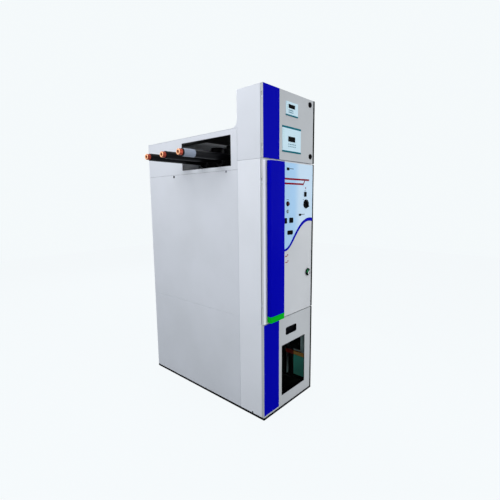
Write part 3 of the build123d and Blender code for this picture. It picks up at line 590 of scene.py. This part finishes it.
# Cable compartment: three cables come up through the floor plate, held by clamps, into the
# plugs under the tank. A copper earth bar runs along the right wall, over a green board.
cable_red = coat("cable_sheath", (0.055, 0.012, 0.010), (0.040, 0.009, 0.008), 0.42, 0.3, 500.0)
finish(rubber, "cable_plugs", "cable_clamps")
finish(cable_red, "cables")
earth_copper = coat("earth_copper", (1.0, 0.40, 0.10), (0.95, 0.32, 0.07), 0.42, 0.4, 300.0, 0.00001, 0.0)
finish(earth_copper, "earth_bar")
# The inner end of the earth bar is covered in dark red as painted shade.
shade_red = coat("earth_bar_painted_shade", (0.30, 0.010, 0.006), (0.24, 0.007, 0.004), 0.45, 0.2, 300.0, 0.00001)
bar_corners = nodes["earth_bar"].bound_box
bar_low, bar_high = Vector(bar_corners[0]), Vector(bar_corners[6])
shade_start, shade_gap = -0.500, 0.0012
shade_low = Vector((bar_low.x - shade_gap, shade_start, bar_low.z - shade_gap))
shade_high = Vector((bar_high.x - shade_gap, bar_high.y - 0.004, bar_high.z + shade_gap))
shade_cover = bmesh.new()
bmesh.ops.create_cube(
    shade_cover, size=1.0,
    matrix=Matrix.Translation((shade_low + shade_high) / 2)
    @ Matrix.Diagonal((*(shade_high - shade_low), 1.0)),
)
piece_on("earth_bar", "earth_bar_painted_shade", close_up(shade_cover), shade_red)
board_green = coat("insulating_board", (0.17, 0.74, 0.61), (0.13, 0.66, 0.54), 0.50, 0.1, 300.0)
wall_face = 0.2965
board = bmesh.new()
plate(board, spot("left", wall_face, -0.543, 0.158) @ upright, 0.128, 0.188, 0.003, 0.004)
piece_on("right_front_panel", "insulating_board", close_up(board), board_green)
# Near-black sheets on the cable compartment's right wall, and one facing front behind it, are painted
# shade.
shade_sheet = bmesh.new()
for y_from, y_to, z_from, z_to in (
    (-0.477, -0.350, 0.020, 0.680), (-0.545, -0.477, 0.290, 0.680), (-0.607, -0.477, 0.020, 0.062),
):
    at = spot("left", wall_face, (y_from + y_to) / 2, (z_from + z_to) / 2) @ upright
    plate(shade_sheet, at, y_to - y_from, z_to - z_from, 0.003)
plate(shade_sheet, spot("front", 0.2740, -0.3500, 0.350), 0.044, 0.660, 0.002)
piece_on("right_front_panel", "right_wall_painted_shade", close_up(shade_sheet), painted_shade_black)

# The doors and the cable cover are folded sheet in a warm light grey. A band of deep blue
# lacquer runs up the left of the relay door and of the cable cover.
door_colour, door_shade = (0.530, 0.552, 0.575), (0.487, 0.508, 0.529)
banded = coat("banded_door_grey", door_colour, door_shade, 0.42, 0.02, 1100.0, 0.00003)
blue_deep = (0.0005, 0.001, 0.42)
band_left, band_right, band_depth, band_foot = -0.2965, -0.128, -0.6445, 0.028
in_band = where(
    banded, ("X", "GREATER_THAN", band_left), ("X", "LESS_THAN", band_right),
    ("Y", "LESS_THAN", band_depth), ("Z", "GREATER_THAN", band_foot),
)
second_colour(banded, blue_deep, in_band)
finish(banded, "relay_door", "cable_cover")
leaf_grey = coat("leaf_grey", (0.62, 0.64, 0.67), (0.57, 0.59, 0.62), 0.42, 0.35, 1100.0, 0.00003)
finish(leaf_grey, "mechanism_door")

# A pale strip down the hinge side of the mechanism door, beside the trim, is a painted highlight on the
# door's fold.
highlight_pale = coat("hinge_highlight", (0.90, 0.93, 0.98), (0.85, 0.88, 0.94), 0.40, 0.35, 900.0)
hinge_highlight = bmesh.new()
plate(hinge_highlight, spot("front", -0.2878, front_face, 1.2435), 0.0196, 1.086, 0.0008, 0.002, 0.0003)
piece_on("mechanism_door", "hinge_side_highlight", close_up(hinge_highlight), highlight_pale)

# Black rubber seals run down the free edges of the doors and of the cover, clipped over the
# edge of the sheet.
seal_black = coat("edge_seal", (0.002, 0.002, 0.002), (0.001, 0.001, 0.001), 0.60, 0.02, 800.0)
for name in ("relay_door_seal", "mechanism_door_seal", "cable_cover_seal"):
    fold_edges(name, seal_black, 0.0015)

# Pale foam gaskets on the cubicle's front edges fill the gap behind the doors: one all round
# the relay box, and a strip on the right edge behind the mechanism door.
foam = coat("foam_gasket", (0.60, 0.62, 0.66), (0.54, 0.56, 0.60), 0.75, 0.2, 1500.0, 0.00008)
sheet_edge, gasket_x, gasket_wide, gasket_thick = -0.624, 0.2915, 0.010, 0.0042
for name, low, high, node in (
    ("relay_gasket", 1.803, 2.246, "relay_box"), ("mechanism_gasket", 0.700, 1.788, "right_front_panel"),
):
    gasket = bmesh.new()
    middle = (low + high) / 2
    for x in (-gasket_x, gasket_x) if name == "relay_gasket" else (gasket_x,):
        at = spot("front", x, sheet_edge, middle)
        plate(gasket, at, gasket_wide, high - low, gasket_thick, 0.001, 0.001)
    if name == "relay_gasket":
        for z in (low + gasket_wide / 2, high - gasket_wide / 2):
            at = spot("front", 0.0, sheet_edge, z)
            plate(gasket, at, 0.572, gasket_wide, gasket_thick, 0.001, 0.001)
    piece_on(node, name, close_up(gasket), foam)

# The seal's rubber lip laps over the free edge of each door and of the cover. It is moulded
# with the seal, in the same black rubber.
lip_x, lip_wide = 0.2905, 0.0180
for node, low, high in (
    ("relay_door_seal", 1.800, 2.249), ("mechanism_door_seal", 0.697, 1.794),
    ("cable_cover_seal", 0.018, 0.691),
):
    lip = bmesh.new()
    at = spot("front", lip_x, front_face, (low + high) / 2)
    plate(lip, at, lip_wide, high - low, 0.0012, 0.001, 0.0005)
    piece_on(node, node + "_lip", close_up(lip), seal_black)

# Protection relays: a moulded case behind the door, and a thin pale front with teal end
# pieces, a dark display set in, a keypad and a column of lamps.
case_grey = coat("relay_case", (0.10, 0.105, 0.11), (0.08, 0.085, 0.09), 0.50, 0.3, 700.0, 0.00003)
film = coat("relay_film", (0.62, 0.82, 0.92), (0.57, 0.77, 0.88), 0.36, 0.2, 1200.0, 0.00001)
teal = coat("teal_end_pieces", (0.0, 0.155, 0.205), (0.0, 0.12, 0.17), 0.40, 0.03, 900.0, 0.00001)
glass_black = (0.001, 0.001, 0.001)
display_black = coat("display_glass", glass_black, glass_black, 0.40, 0.02, 300.0, 0.000001)
key_grey = coat("keypad_keys", (0.18, 0.33, 0.40), (0.14, 0.27, 0.34), 0.45, 0.2, 700.0, 0.00002)
lamp_green = coat("lamp_lens", (0.05, 0.42, 0.16), (0.04, 0.36, 0.13), 0.20, 0.5, 300.0, 0.000001)
relay_thick, relay_x = 0.0035, 0.010
proud_face = front_face - relay_thick - 0.0002
for node, z, width, rise, display, bars, keys, key_size, lamp_count in (
    ("upper_relay", 2.141, 0.140, 0.092, (-0.005, 0.017, 0.073, 0.025), ((-0.0415, 0.009),),
     [(-0.036 + 0.014 * i, -0.009 - 0.013 * j) for i in range(4) for j in range(2)], (0.010, 0.007), 3),
    ("lower_relay", 1.940, 0.217, 0.171, (-0.004, 0.004, 0.080, 0.034), ((-0.080, 0.011), (0.079, 0.013)),
     [(-0.038 + 0.019 * i, -0.030 - 0.015 * j) for i in range(5) for j in range(2)], (0.011, 0.0065), 6),
):
    case = bmesh.new()
    for depth, smaller, thick, edge in ((0.110, 0.016, 0.110, 0.0015), (0.117, 0.040, 0.008, 0.0008)):
        at = spot("front", relay_x, front_face + depth, z)
        plate(case, at, width - smaller, rise - smaller, thick, 0.0, edge)
    piece_on(node, node + "_case", close_up(case), case_grey, stands_for=True)
    sheet_film = bmesh.new()
    plate(sheet_film, spot("front", relay_x, front_face, z), width, rise, relay_thick, 0.003, 0.0010)
    piece_on(node, node + "_front", close_up(sheet_film), film)
    end_pieces = bmesh.new()
    for dz, tall in bars:
        at = spot("front", relay_x, front_face, z + dz)
        plate(end_pieces, at, width + 0.001, tall, relay_thick + 0.0006, 0.0, 0.0008)
    piece_on(node, node + "_end_pieces", close_up(end_pieces), teal)
    glass = bmesh.new()
    at = spot("front", relay_x + display[0], proud_face, z + display[1])
    ring_plate(glass, at, display[2], display[3], 0.0025, 0.0012, 0.0015)
    pane_at = at @ Matrix.Translation((0.0, 0.0, 0.0001))
    plate(glass, pane_at, display[2] - 0.004, display[3] - 0.004, 0.0004)
    piece_on(node, node + "_display", close_up(glass), display_black)
    keypad = bmesh.new()
    for x, dz in keys:
        plate(keypad, spot("front", relay_x + x, proud_face, z + dz), *key_size, 0.0013, 0.0015, 0.0004)
    piece_on(node, node + "_keys", close_up(keypad), key_grey)
    lamps = bmesh.new()
    for index in range(lamp_count):
        lamp_z = z + rise / 2 - 0.026 - 0.0125 * index
        turn(lamps, spot("front", relay_x - width / 2 + 0.014, proud_face, lamp_z), (
            (0.0, -0.0004), (0.0022, -0.0004), (0.0020, 0.0006), (0.0012, 0.0011), (0.0, 0.0012),
        ), steps=12)
    piece_on(node, node + "_lamps", close_up(lamps), lamp_green)

# Quarter-turn locks on the relay door: black turned bodies with a recessed square drive,
# pushed through the sheet and held by a nut behind it.
control_black = coat(
    "control_black", (0.003, 0.003, 0.004), (0.002, 0.002, 0.003), 0.50, 0.03, 600.0, 0.00003,
)
locks = bmesh.new()
for x, z in ((0.234, 2.213), (0.246, 1.849)):
    turn(locks, spot("front", x, front_face, z), (
        (0.0, -0.001), (0.019, -0.001), (0.019, 0.0035), (0.0180, 0.0055), (0.0160, 0.0068),
        (0.0140, 0.0070), (0.0125, 0.0060), (0.0100, 0.0030), (0.0, 0.0030),
    ), steps=40)
    plate(locks, spot("front", x, -0.6478, z), 0.0085, 0.0085, 0.0034, 0.0006, 0.0004)
piece_on("relay_door_locks", "relay_door_lock_bodies", close_up(locks), control_black, stands_for=True)

# The trim on the mechanism door is a moulded cover in blue lacquer with a green foot, clipped
# to the leaf from behind.
blue = coat("blue_lacquer", blue_deep, blue_deep, 0.34, 0.02, 300.0, 0.00001)
green = coat("green_lacquer", (0.001, 0.44, 0.016), (0.001, 0.40, 0.014), 0.34, 0.03, 300.0, 0.00001)
fold_edges("blue_trim", blue, 0.0010)
fold_edges("green_trim_end", green, 0.0010)

# The raised curve on the door is a moulded blue bead, glued along the mimic's lower edge. It
# widens from left to right, by 3 to 10 mm on the plain piece.
bead_left = -0.112
spread_left, spread_slope = 0.0015, 0.0085
bead = bmesh.new()
bead.from_mesh(nodes["mimic_curve"].data)
bmesh.ops.remove_doubles(bead, verts=bead.verts, dist=0.00002)
for point in bead.verts:
    away = Vector((0.0, 0.0, 0.0))
    for face in point.link_faces:
        if abs(face.normal.y) < 0.1 and abs(face.normal.x) < 0.98:
            away += face.normal
    if away.length > 0.5:
        spread = spread_left + spread_slope * (point.co.x - bead_left)
        point.co += Vector((away.x, 0.0, away.z)).normalized() * spread
bead_edges = [
    e for e in bead.edges
    if len(e.link_faces) == 2 and e.is_convex and e.calc_face_angle(0.0) > math.radians(50.0)
]
bmesh.ops.bevel(
    bead, geom=bead_edges, offset=0.0009, offset_type="OFFSET", segments=2, profile=0.5,
    affect="EDGES", clamp_overlap=True, material=-1,
)
piece_on("mimic_curve", "mimic_bead", bead, blue, stands_for=True)

# Mimic panel: a printed film on a thin plate, taken to be a darker blue on its left half.
# Two red lines stand for the busbar and its branch, with a few small printed marks.
mimic_film = coat("mimic_film", (0.42, 0.66, 0.92), (0.39, 0.63, 0.90), 0.42, 0.15, 1200.0, 0.00001)
fade_left, fade_right = 0.035, 0.125
tree = mimic_film.node_tree
axes = tree.nodes.new("ShaderNodeSeparateXYZ")
fade = tree.nodes.new("ShaderNodeMapRange")
fade.interpolation_type = "SMOOTHSTEP"
fade.inputs["From Min"].default_value = fade_left
fade.inputs["From Max"].default_value = fade_right
tree.links.new(node_of(mimic_film, "ShaderNodeTexCoord").outputs["Object"], axes.inputs[0])
tree.links.new(axes.outputs["X"], fade.inputs["Value"])
second_colour(mimic_film, (0.60, 0.77, 0.93), fade.outputs["Result"])
finish(mimic_film, "mimic_panel")
mimic_face = -0.647
line_red = coat("printed_red", (0.26, 0.003, 0.020), (0.22, 0.003, 0.016), 0.40, 0.05, 900.0, 0.00001)
print_black = coat(
    "printed_black", (0.005, 0.005, 0.006), (0.003, 0.003, 0.004), 0.45, 0.05, 900.0, 0.00001,
)
print_thick = 0.0004
lines = bmesh.new()
for x_from, z_from, x_to, z_to, wide in (
    (-0.112, 1.677, 0.236, 1.677, 0.0125), (-0.112, 1.645, 0.160, 1.645, 0.0125),
    (0.157, 1.643, 0.180, 1.676, 0.0090), (0.190, 1.627, 0.190, 1.611, 0.0050),
    (0.183, 1.619, 0.197, 1.619, 0.0050),
):
    length = math.hypot(x_to - x_from, z_to - z_from)
    slope = math.atan2(z_to - z_from, x_to - x_from)
    at = spot("front", (x_from + x_to) / 2, mimic_face, (z_from + z_to) / 2)
    plate(lines, at @ Matrix.Rotation(slope, 4, "Z"), length, wide, print_thick)
piece_on("mimic_panel", "mimic_lines", close_up(lines), line_red)
marks = bmesh.new()
for x, z, wide, tall in (
    (-0.032, 1.744, 0.034, 0.019), (0.012, 1.747, 0.044, 0.004), (0.119, 1.424, 0.032, 0.016),
    (0.158, 1.427, 0.046, 0.004), (0.184, 1.5985, 0.020, 0.003), (0.160, 1.535, 0.012, 0.003),
    (-0.035, 1.5345, 0.026, 0.003),
):
    plate(marks, spot("front", x, mimic_face, z), wide, tall, print_thick, min(wide, tall) * 0.3)
piece_on("mimic_panel", "mimic_marks", close_up(marks), print_black)

# Small red marks are printed on the leaf below the mimic's curve. They are generic signs for
# the hand drives.
door_marks = bmesh.new()
for x, z in ((-0.041, 1.137), (-0.037, 1.093)):
    plate(door_marks, spot("front", x - 0.006, front_face, z), 0.026, 0.0065, print_thick)
    plate(door_marks, spot("front", x + 0.012, front_face, z + 0.008), 0.010, 0.010, print_thick, 0.002)
piece_on("mechanism_door", "door_marks", close_up(door_marks), line_red)

# Controls: a large knob with a bar grip, a push button, a lamp and four small windows, in
# black moulded plastic. A dark pane is set in each window.
knob_at = spot("front", 0.195, mimic_face, 1.502)
button_at = spot("front", -0.035, mimic_face, 1.506)
lamp_at = spot("front", -0.035, mimic_face, 1.453)
controls = bmesh.new()
turn(controls, knob_at, (
    (0.0, -0.0005), (0.033, -0.0005), (0.033, 0.0035), (0.0320, 0.0060), (0.0295, 0.0078),
    (0.0260, 0.0084), (0.0, 0.0084),
), steps=48)
grip = bmesh.new()
grip_on_knob = knob_at @ Matrix.Translation((0.0, 0.0, 0.006)) @ Matrix.Rotation(math.radians(35.0), 4, "Z")
plate(grip, grip_on_knob, 0.012, 0.052, 0.0135, 0.0058, 0.0035)
for at, r, rise in ((button_at, 0.0170, 0.0040), (lamp_at, 0.0120, 0.0030)):
    turn(controls, at, (
        (0.0, -0.0005), (r, -0.0005), (r, rise * 0.6), (r - 0.0012, rise), (r * 0.80, rise),
        (r * 0.78, rise * 0.5), (0.0, rise * 0.5),
    ), steps=40)
frame_wide = 0.0045
sign_panes = bmesh.new()
for x, z, wide, tall in (
    (0.184, 1.573, 0.030, 0.036), (-0.063, 1.389, 0.035, 0.038), (0.007, 1.390, 0.044, 0.037),
    (-0.006, 1.303, 0.062, 0.030),
):
    at = spot("front", x, mimic_face, z)
    plate(controls, at, wide, tall, 0.0042, 0.0065, 0.0012)
    pane_at = at @ Matrix.Translation((0.0, 0.0, 0.0038))
    plate(sign_panes, pane_at, wide - 2 * frame_wide, tall - 2 * frame_wide, 0.0008, 0.0040, 0.0003)
piece_on("panel_controls", "control_bodies", close_up(controls), control_black, stands_for=True)
piece_on("panel_controls", "knob_grip", close_up(grip), control_black)
piece_on("panel_controls", "window_panes", close_up(sign_panes), display_black)
button_red = coat("button_red", (0.070, 0.004, 0.008), (0.055, 0.003, 0.006), 0.36, 0.15, 600.0, 0.00001)
caps = bmesh.new()
turn(caps, button_at, (
    (0.0, 0.001), (0.0125, 0.001), (0.0125, 0.0085), (0.0115, 0.0100), (0.0080, 0.0108), (0.0, 0.0110),
), steps=36)
piece_on("panel_controls", "push_button_cap", close_up(caps), button_red)
lens_grey = coat("lamp_lens_clear", (0.34, 0.42, 0.46), (0.28, 0.35, 0.39), 0.18, 0.5, 400.0, 0.000002)
lens = bmesh.new()
turn(lens, lamp_at, (
    (0.0, 0.001), (0.0090, 0.001), (0.0088, 0.0035), (0.0070, 0.0050), (0.0040, 0.0058), (0.0, 0.0060),
), steps=32)
piece_on("panel_controls", "lamp_lens", close_up(lens), lens_grey)

# The door lock has a bright turned ring and a dark turning disc. A green mark and a pale one
# on the disc show whether the door is shut.
lock_at = spot("front", 0.227, front_face, 0.983)
ring_bright = coat("bright_ring", (0.58, 0.60, 0.62), (0.50, 0.52, 0.54), 0.34, 0.5, 300.0, 0.00001, 0.35)
ring = bmesh.new()
turn(ring, lock_at, (
    (0.0, -0.0005), (0.035, -0.0005), (0.035, 0.0022), (0.0342, 0.0036), (0.0325, 0.0040),
    (0.0300, 0.0040), (0.0290, 0.0030), (0.0, 0.0030),
), steps=56)
piece_on("panel_controls", "door_lock_ring", close_up(ring), ring_bright)
disc = bmesh.new()
turn(disc, lock_at, (
    (0.0, 0.002), (0.0275, 0.002), (0.0275, 0.0080), (0.0262, 0.0100), (0.0235, 0.0105),
    (0.0110, 0.0105), (0.0100, 0.0060), (0.0, 0.0060),
), steps=56)
plate(disc, lock_at @ Matrix.Translation((0.0, 0.0, 0.0055)), 0.0045, 0.0170, 0.0055, 0.0018, 0.0005)
piece_on("panel_controls", "door_lock_disc", close_up(disc), control_black)
shut_green = coat("shut_green", (0.006, 0.24, 0.075), (0.005, 0.20, 0.060), 0.36, 0.3, 600.0, 0.00001)
lock_pale = coat("lock_mark", (0.80, 0.84, 0.86), (0.74, 0.78, 0.80), 0.40, 0.3, 600.0, 0.00001)
lock_axis = lock_at.to_3x3() @ Vector((0.0, 0.0, 1.0))
mark_level = Vector((0.0, 0.0, 0.0106))
for name, first_angle, sweep, material in (
    ("door_lock_green_mark", 75.0, 125.0, shut_green), ("door_lock_pale_mark", -85.0, 110.0, lock_pale),
):
    sector = bmesh.new()
    across = Vector((math.cos(math.radians(first_angle)), math.sin(math.radians(first_angle)), 0.0))
    corners = [sector.verts.new(lock_at @ (across * r + mark_level)) for r in (0.0050, 0.0200)]
    start = sector.edges.new(corners)
    bmesh.ops.spin(
        sector, geom=corners + [start], cent=lock_at.translation, axis=lock_axis,
        angle=math.radians(sweep), steps=14, use_merge=False,
    )
    grown = bmesh.ops.extrude_face_region(sector, geom=list(sector.faces))
    bmesh.ops.translate(
        sector, verts=[v for v in grown["geom"] if isinstance(v, bmesh.types.BMVert)],
        vec=lock_axis * -0.0012,
    )
    piece_on("panel_controls", name, close_up(sector), material)

# Small black catches sit on the free edge of the mechanism door. They are moulded plastic,
# let into its rubber seal.
catch_x, catch_wide, catch_tall, catch_thick = 0.2865, 0.012, 0.022, 0.0035
catches = bmesh.new()
for z in (1.137, 0.965, 0.736):
    at = spot("front", catch_x, front_face, z)
    plate(catches, at, catch_wide, catch_tall, catch_thick, 0.003, 0.001)
piece_on("mechanism_door", "edge_catches", close_up(catches), control_black)

# The grip in the cable cover is a black moulded cup with a rounded flange, pushed into a
# slot in the sheet.
grip_at = spot("front", 0.0195, front_face, 0.580)
flange_wide, flange_tall, flange_thick = 0.1350, 0.0570, 0.0016
cup = bmesh.new()
plate(cup, grip_at, flange_wide, flange_tall, flange_thick, 0.0125, 0.0006)
cup.faces.ensure_lookup_table()
mouth, back = sorted(cup.faces, key=lambda f: f.calc_area())[-2:]
if mouth.calc_center_median().y > back.calc_center_median().y:
    mouth, back = back, mouth
cup_depth = Vector((0.0, 0.0190, 0.0))
for face, rim_wide in ((mouth, 0.0065), (back, 0.0045)):
    bmesh.ops.inset_region(cup, faces=[face], thickness=rim_wide, use_even_offset=True)
    sunk = bmesh.ops.extrude_face_region(cup, geom=[face])
    bmesh.ops.delete(cup, geom=[face], context="FACES_ONLY")
    moved = [v for v in sunk["geom"] if isinstance(v, bmesh.types.BMVert)]
    bmesh.ops.translate(cup, verts=moved, vec=cup_depth)
piece_on("cover_grip", "rounded_grip", close_up(cup), control_black, stands_for=True)

# The window in the cable cover is a thin sheet of dark tinted glass. A rubber edging holds
# it in the cut-out.
edging_at = spot("front", 0.0535, -0.6430, 0.2925)
edging_wide, edging_tall, rubber_wide = 0.2975, 0.3855, 0.0055
edging = bmesh.new()
ring_plate(edging, edging_at, edging_wide, edging_tall, rubber_wide, 0.0028)
piece_on("cable_window", "cover_window_edging", close_up(edging), seal_black)
pane = bpy.data.materials.new("tinted_glass")
pane.use_nodes = True
bsdf = pane.node_tree.nodes["Principled BSDF"]
bsdf.inputs["Base Color"].default_value = (0.62, 0.74, 0.72, 1.0)
bsdf.inputs["Transmission Weight"].default_value = 1.0
bsdf.inputs["Roughness"].default_value = 0.02
bsdf.inputs["IOR"].default_value = 1.03
bsdf.inputs["Specular IOR Level"].default_value = 0.05
finish(pane, "cable_window")

bpy.context.view_layer.update()
